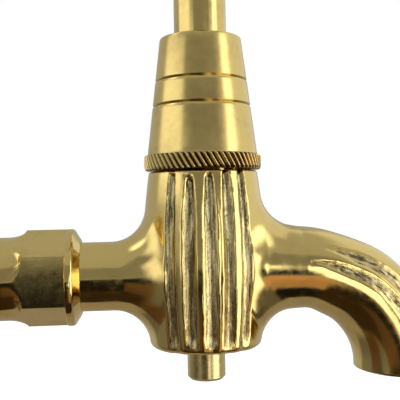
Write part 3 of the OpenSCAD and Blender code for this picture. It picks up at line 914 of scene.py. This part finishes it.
def shank():
    """Threaded along its whole length apart from the collar in front of the flange."""
    back, front = span("shank", X)
    collar_from, collar_to, collar_r = span("wall_flange", X)[1], REACH - 78.3, 13.35
    bore_r, thread_deep = 5.0, 1.05
    outside = [(THREAD_R, h) for h in thread_rows(front, collar_to, THREAD_PITCH)]
    outside += [(collar_r - 0.4, collar_to), (collar_r, collar_to - 0.4), (collar_r, collar_from + 0.4),
                (collar_r - 0.4, collar_from)]
    outside += [(THREAD_R, h) for h in thread_rows(collar_from, back, THREAD_PITCH)]
    inside = [(bore_r + 0.6, back), (bore_r, back + 0.6), (bore_r, front - 0.6),
              (bore_r + 0.6, front)]

    def skin(u, r, h):
        ends = step_in(h, back, back + 1.8) * step_in(front - h, 0, 1.8)
        clear = np.clip(np.maximum(h - collar_to - 0.9, collar_from - h), 0, 1)
        cut = r - thread_deep * (1 - thread_wave(u, h, THREAD_PITCH) * ends * clear)
        return np.where(np.abs(r - THREAD_R) < 0.01, cut, r)

    obj = turned("shank_threaded", outside + inside, "X", 128, skin)
    piece(obj, SATIN_X, 50, "tap", "turned_brass", "shank")


def flange():
    """Domed flange with a thin bead at its rim."""
    back, front = span("wall_flange", X)
    rim, hub, bead_r, edge = span("wall_flange", Z)[1], 17.0, 1.1, back + 2.6
    crown = [
        (hub + (rim - bead_r - hub) * math.cos(a), edge + (front - edge) * math.sin(a))
        for a in np.linspace(0.06, math.pi / 2, 22)
    ]
    bead = arc(rim - bead_r, back + 1.5, bead_r, -80, 85, 12)
    profile = [(THREAD_R, back), (rim - 1.5, back)] + bead + crown + [(13.6, front), (THREAD_R, front)]
    obj = turned("wall_flange_dome", profile, "X", 160)
    piece(obj, TURNED_X, 40, "tap", "polished_brass", "wall_flange")


def plain_ring(name, node, body, slot, material):
    """A flat ring about X with eased edges, in its CAD node's box."""
    back, front = span(node, X)
    inner, outer = THREAD_R + 0.2, span(node, Z)[1]
    profile = [(inner, back), (outer, back), (outer, front), (inner, front)]
    obj = turned(name, eased(profile, 0.25), "X", 96)
    piece(obj, material, 45, body, slot, node)


def tailpiece():
    """Flanged tail with a plain tube for the beer line."""
    back, front = span("tailpiece", X)
    profile = [
        (3.5, back), (4.3, back), (4.75, back + 0.25), (5.0, back + 0.9), (5.0, -60.2), (5.3, -59.8),
        (6.2, -59), (6.2, -51.4), (6.4, -51.0), (10.4, -51.0), (10.6, -50.8), (10.6, front - 0.2),
        (10.4, front), (3.8, front), (3.5, front - 0.3),
    ]
    obj = turned("tailpiece_tube", profile, "X", 96)
    piece(obj, SATIN_X, 40, "tail_slip", "turned_brass", "tailpiece")


shank()
flange()
plain_ring("flange_gasket_ring", "flange_gasket", "tap", "rubber", RUBBER)
plain_ring("back_washer_ring", "back_washer", "back_slip", "steel", STEEL_X)
tailpiece()

# --- Rod and handle ---


def handle_rod():
    low, high = span("handle_rod", Z)
    stem_r, socket_top = 6.0, 56.3
    profile = [
        (stem_r, low), (ROD_R - 0.5, low), (ROD_R, low + 0.5), (ROD_R, HUB_FOOT - 0.3),
        (ROD_R - 0.3, HUB_FOOT), (5.0, HUB_FOOT), (5.0, high - 0.4), (4.6, high), (0, high),
        (0, socket_top), (stem_r, socket_top),
    ]
    rows = []
    for a, b in zip(profile, profile[1:] + profile[:1]):
        rows += stepped(a, b, 8 if abs(a[1] - b[1]) > 10 else 1)
    obj = turned("handle_rod_bar", rows, around=160)
    piece(obj, TURNED_Z, 35, "plug_and_handle", "turned_brass", "handle_rod")


def handle_hub():
    """Collar with a bead, a waist, and a ball with a flat seat for the screw on top."""
    low = HUB_FOOT
    collar, waist, ball = 11.0, 8.2, 13.5
    profile = [(5.0, low), (collar - 1.0, low)]
    profile += arc(collar - 0.8, low + 0.8, 0.8, -90, 0, 6)
    profile += arc(collar - 0.8, low + 3.2, 0.8, 0, 90, 6)
    profile += [(collar - 1.4, low + 4.05)]
    profile += arc(waist + 1.4, low + 5.45, 1.4, 250, 180, 7)
    reach_down = math.degrees(math.asin(-math.sqrt(ball ** 2 - (waist + 0.5) ** 2) / ball))
    neck_z = BAR_Z + ball * math.sin(math.radians(reach_down))
    profile += [(waist, low + 6.5), (waist, neck_z - 0.8), (waist + 0.15, neck_z - 0.2)]
    profile += arc(0, BAR_Z, ball, reach_down, 69, 34)
    profile += [(ball * math.cos(math.radians(70)) - 0.25, HUB_TOP), (2.5, HUB_TOP),
                (2.5, BAR_Z + 4), (5.0, BAR_Z - 9)]
    obj = turned("handle_hub_ball", profile)
    piece(obj, TURNED_Z, 40, "plug_and_handle", "polished_brass", "handle_hub")


def finial():
    """Round-headed screw with a driver slot across its head."""
    low, screw_end = HUB_TOP, span("hub_finial", Z)[0]
    head, rise, slot_half, slot_deep = 5.2, 4.6, 0.65, 1.7
    dome_from = low + 1.4
    slot_floor = dome_from + rise - slot_deep
    n = 120
    turns = np.linspace(0, 2 * math.pi, n, endpoint=False)
    pts = [(0, 0, slot_floor)]
    for t in np.linspace(0, 1, 40)[1:]:
        a = math.pi / 2 * (1 - t)
        r, z = head * math.cos(a), dome_from + rise * math.sin(a)
        for u in turns:
            x, y = r * math.cos(u), r * math.sin(u)
            wall = step_in(abs(y), slot_half - 0.12, slot_half + 0.12)
            cut = slot_floor + (z - slot_floor) * wall
            pts.append((x, y, min(z, cut) if z > slot_floor else z))
    for r, z in ((head, low + 0.3), (head - 0.3, low), (2.5, low), (2.5, screw_end)):
        pts += [(r * math.cos(u), r * math.sin(u), z) for u in turns]
    pts.append((0, 0, screw_end))
    faces = [(0, 1 + i, 1 + (i + 1) % n) for i in range(n)]
    levels = (len(pts) - 2) // n
    last = 1 + (levels - 1) * n
    sides = ring_faces(levels, n)[:(levels - 1) * n]
    faces += [tuple(1 + corner for corner in quad) for quad in sides]
    faces += [(len(pts) - 1, last + (i + 1) % n, last + i) for i in range(n)]
    obj = new_object("hub_finial_screw", np.array(pts) + AXIS, faces)
    clean(obj)
    piece(obj, TURNED_Z, 40, "plug_and_handle", "polished_brass", "hub_finial")


def cross_bar():
    low, high = span("cross_bar", Y)
    r = span("cross_bar", Z)[1] - BAR_Z
    profile = [(0, low), (r - 0.5, low), (r, low + 0.5)]
    profile += [(r, h) for h in np.linspace(low + 4, high - 4, 12)]
    profile += [(r, high - 0.5), (r - 0.5, high), (0, high)]
    obj = turned("cross_bar_rod", profile, "Y", 96)
    piece(obj, STEEL_Y, 40, "plug_and_handle", "steel", "cross_bar")


def both_sides(name, profile, first, material, slot, node):
    """The same turned piece on each side of the hub. Heights in the profile are counted from
    first, its distance from the hub."""
    for sign, side in ((1, "right"), (-1, "left")):
        outline = [(r, sign * (first + h)) for r, h in profile]
        obj = turned(f"{name}_{side}", outline, "Y", 96)
        piece(obj, material, 40, "plug_and_handle", slot, node)


def grips():
    """Turned hardwood: a bead, a waist, and a long swell with two scored rings."""
    length, hole = 31.0, 4.0
    profile = [(hole, 0), (7.2, 0)] + arc(7.2, 1.0, 1.0, -90, 0, 6) + arc(7.2, 2.3, 1.0, 0, 90, 6)
    profile += arc(7.4, 4.0, 0.75, 250, 110, 8)
    for t in np.linspace(0.02, 1, 44):
        r = 6.8 + 2.6 * math.sin(math.pi * t ** 0.8)
        z = 4.5 + t * (length - 4.5)
        for ring in (15.5, 17.5):
            r -= 0.35 * math.exp(-(((z - ring) / 0.33) ** 2))
        profile.append((r, z))
    profile.append((hole, length))
    both_sides("grip", profile, GRIPS_END - length, WOOD, "wood", "handle_grips")


def end_caps():
    """Brass caps: a narrow groove, then a dome over the end of the bar."""
    length, dome = span("grip_end_caps", Y)[1] - GRIPS_END, 5
    profile = [(4.0, 0.0), (6.7, 0.0)] + arc(6.7, 0.5, 0.5, -90, 0, 5)
    profile += [(7.2, 1.7), (6.95, 1.95), (7.2, 2.2)]
    for a in np.linspace(0.06, math.pi / 2, 16):
        profile.append((7.2 * math.cos(a), length - dome + dome * math.sin(a)))
    profile[-1] = (0, length)
    profile += [(0, 4.6), (4.0, 4.6)]
    both_sides("end_cap", profile, GRIPS_END, TURNED_Y, "polished_brass", "grip_end_caps")


handle_rod()
handle_hub()
finial()
cross_bar()
grips()
end_caps()

# --- Spring, and the small inner pieces that stay as the frame has them ---


def spring():
    """Round wire; the end coils lie almost flat and the middle ones are open."""
    low, high = span("plug_spring", Z)
    wire = 1.2
    coil_r = span("plug_spring", Y)[1] - wire
    coils, sides, steps = 5, 16, 5 * 48
    lift = high - low - 2 * wire
    t = np.linspace(0, 1, steps + 1)
    turn = 2 * math.pi * coils * t
    height = low + wire + lift * (t - 0.11 * np.sin(2 * math.pi * t))
    b = np.linspace(0, 2 * math.pi, sides, endpoint=False)
    tt, bb = np.meshgrid(turn, b, indexing="ij")
    hh = np.repeat(height[:, None], sides, axis=1)
    r = coil_r + wire * np.cos(bb)
    pts = np.stack([r * np.cos(tt), r * np.sin(tt), hh + wire * np.sin(bb)], axis=-1)
    pts = pts.reshape(-1, 3)
    faces = ring_faces(steps + 1, sides)[:steps * sides]
    faces.append(tuple(range(sides)))
    faces.append(tuple(steps * sides + k for k in range(sides - 1, -1, -1)))
    obj = new_object("plug_spring_wire", pts + AXIS, faces)
    clean(obj)
    piece(obj, STEEL_Z, 50, "tap", "steel", "plug_spring")


KEPT = {
    "plug": SATIN_Z, "stop_pin": STEEL_Y, "tail_seal": RUBBER, "nut_snap_ring": STEEL_X,
    "coupling_washer": FIBRE, "tailpiece_washer": FIBRE, "nut_slip_washer": SATIN_X,
    "spring_washer": STEEL_Z, "rod_pin": STEEL_X, "bonnet_thrust_washer": SATIN_Z, "stem_wiper": RUBBER,
}

spring()
for kept_name, kept_material in KEPT.items():
    give(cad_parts[kept_name], kept_material)

# --- Floor, light and camera ---

FLOOR_Z, FLOOR_R = -0.20, 4.0     # metres


def floor():
    mesh = bpy.data.meshes.new("floor")
    bm = bmesh.new()
    bmesh.ops.create_circle(bm, cap_ends=True, segments=96, radius=FLOOR_R)
    bm.to_mesh(mesh)
    bm.free()
    obj = link("floor", mesh)
    obj.location = (REACH * MM, 0, FLOOR_Z)
    mat = bpy.data.materials.new("pale_floor")
    mat.use_nodes = True
    shader = mat.node_tree.nodes["Principled BSDF"]
    shader.inputs["Base Color"].default_value = (0.5, 0.5, 0.5, 1)
    shader.inputs["Roughness"].default_value = 0.9
    shader.inputs["Emission Color"].default_value = (1, 1, 0.995, 1)
    shader.inputs["Emission Strength"].default_value = 0.8
    mesh.materials.append(mat)
    obj.visible_glossy = False     # the brass reflects the surroundings, not the floor


# Bright windows and dimmer patches of the surroundings: power or share of the light, azimuth from
# straight ahead of the tap (+ to the right), height, half width, half height, softness of the edge
# and lean, in degrees
WINDOWS = [
    (0.85, -80, 18, 29, 8, 5.5),
    (1.45, -92, 43, 12, 11, 7.5),
    (1.00, -42, 3, 7, 11, 3.0),
    (1.80, 62, 22, 11, 10, 6.0),
    (0.36, 112, 26, 38, 30, 8.0),
    (2.00, 56, -9, 20, 20, 3.0),
    (2.20, 15, -5, 6, 13, 3.0, 31),
]
DIM_PATCHES = [
    (0.58, -6, 15, 42, 18, 4.0),
    (0.45, -92, -28, 34, 20, 6.0),
    (0.45, 80, -30, 10, 10, 4.0),
]
# Plain light at mid height and overhead, then the shares of it that are left lower down, far
# below, and in the dark band
MID_LIGHT, TOP_LIGHT = 0.45, 0.47
LOW_SHARE, BELOW_SHARE, DARK_SHARE = 0.42, 0.72, 0.08
# Bands of tilt: from, to, softness of the edge, in degrees
LOW_BAND, DARK_BAND = (6, 88, 4), (4.9, 88, 0.4)
AMBER_BAND, UMBER_BAND, LEFT_BAND = (21, 55, 5), (45, 86, 4), (17, 44, 4)
# Where the bands end to the left and the right, as the x of a direction: start and end of the fade
AHEAD_LEFT, AHEAD_RIGHT = (-0.66, -0.54), (0.49, 0.56)
AMBER_LEFT, UMBER_RIGHT, LEFT_RIGHT = (0.03, 0.10), (0.06, 0.14), (-0.22, -0.12)
AMBER_LIGHT, UMBER_LIGHT, LEFT_POWER = 0.70, 0.04, 3.0
COOL_WHITE, WARM_BROWN = (1.0, 1.02, 1.02), (1.0, 0.58, 0.30)
BELOW_WARMTH = 0.25


def room():
    """Plain pale surroundings for the camera; reflections see windows and a darker, warmer room."""
    world = bpy.data.worlds.new("studio")
    bpy.context.scene.world = world
    world.use_nodes = True
    tree = world.node_tree
    tree.nodes.clear()
    x, y, z = parts(add(tree, "TexCoord").outputs["Generated"])
    toward, down = times(y, -1.0), times(z, -1.0)
    azimuth = math_node("DEGREES", math_node("ARCTAN2", x, toward))
    height = math_node("DEGREES", math_node("ARCSINE", z))
    # tilt runs from 0 straight ahead of the tap, through 90 straight down, to 180 behind it
    tilt = math_node("DEGREES", math_node("ARCTAN2", down, toward))

    def near(value, half, soft):
        """1 while value is within half of 0, either way."""
        off = math_node("ABSOLUTE", value)
        return ramp(off, half - soft, half + soft, 1.0, 0.0)

    def patch(az, el, half_az, half_el, soft, lean=0):
        """1 inside a window centred at az, el, whose top leans to the right by lean."""
        across = math_node("SUBTRACT", azimuth, az)
        along = math_node("SUBTRACT", height, el)
        if lean:
            cos, sin = math.cos(math.radians(lean)), math.sin(math.radians(lean))
            across, along = (
                math_node("SUBTRACT", times(across, cos), times(along, sin)),
                plus(times(across, sin), times(along, cos)),
            )
        return times(near(across, half_az, soft), near(along, half_el, soft))

    def band(low, high, soft):
        """1 where the tilt is between low and high."""
        return times(ramp(tilt, low - soft, low + soft),
                     ramp(tilt, high - soft, high + soft, 1.0, 0.0))

    def right_of(ends):
        return ramp(x, *ends)

    def left_of(ends):
        return ramp(x, *ends, 1.0, 0.0)

    def dimmed(light, where, share):
        """The light, with only its share left where where is 1."""
        return times(light, ramp(where, 0, 1, 1.0, share))

    ahead = times(right_of(AHEAD_LEFT), left_of(AHEAD_RIGHT))
    amber = times(band(*AMBER_BAND), right_of(AMBER_LEFT), ahead)
    umber = times(band(*UMBER_BAND), left_of(UMBER_RIGHT))
    to_left = times(band(*LEFT_BAND), left_of(LEFT_RIGHT))
    umber = math_node("MAXIMUM", umber, times(to_left, LEFT_POWER, ahead))
    light = ramp(height, 15, 75, MID_LIGHT, TOP_LIGHT)
    light = dimmed(light, band(*LOW_BAND), LOW_SHARE)
    for share, *place in DIM_PATCHES:
        light = dimmed(light, patch(*place), share)
    light = dimmed(light, times(band(*DARK_BAND), ahead), DARK_SHARE)
    light = plus(light, times(amber, AMBER_LIGHT), times(umber, UMBER_LIGHT))
    for power, *window in WINDOWS:
        light = plus(light, times(patch(*window), power))
    below = ramp(height, -15, -40)
    light = dimmed(light, below, BELOW_SHARE)
    warm = math_node("MAXIMUM", amber, umber)
    warm = math_node("MAXIMUM", times(below, BELOW_WARMTH), warm)
    colour = tint(warm, COOL_WHITE, WARM_BROWN)
    seen = add(tree, "Background", Color=(1, 1, 1, 1), Strength=1.0)
    glow = add(tree, "Background", Color=colour, Strength=light)
    path = add(tree, "LightPath")
    both = add(tree, "MixShader", i0=path.outputs["Is Camera Ray"],
               i1=glow.outputs[0], i2=seen.outputs[0])
    add(tree, "OutputWorld", i0=both.outputs[0])


def key_lamp():
    """A soft lamp from the upper right; the brass doesn't reflect it."""
    data = bpy.data.lights.new("key", "AREA")
    data.shape = "RECTANGLE"
    data.size = data.size_y = 0.5
    data.energy = 2.5
    obj = link("key", data)
    obj.location = place = (REACH * MM + 0.54, -0.56, 0.7)
    aim = (REACH * MM, 0, 0.02)
    obj.rotation_euler = (Vector(aim) - Vector(place)).to_track_quat("-Z", "Y").to_euler()
    obj.visible_camera = False
    obj.visible_glossy = False


def camera():
    """Level camera a little to the left of square-on, rolled slightly clockwise."""
    swing, roll = math.radians(5.5), math.radians(1.13)
    distance, side, height = 228.6, -1.1, 23.3
    forward = Vector((math.sin(swing), math.cos(swing), 0))
    right = Vector((math.cos(swing), -math.sin(swing), 0))
    up = Vector((0, 0, 1))
    place = Vector(AXIS) - forward * distance + right * side + up * height
    cam_up = up * math.cos(roll) + right * math.sin(roll)
    cam_right = right * math.cos(roll) - up * math.sin(roll)
    data = bpy.data.cameras.new("camera")
    data.sensor_width = 36
    data.lens = 62.1
    data.shift_y = 0.0075
    data.clip_start = 0.01
    obj = link("camera", data)
    turn = Matrix((cam_right, cam_up, -forward)).transposed().to_4x4()
    obj.matrix_world = Matrix.Translation(place * MM) @ turn
    bpy.context.scene.camera = obj


floor()
room()
key_lamp()
camera()
bpy.context.scene.view_settings.view_transform = "Standard"
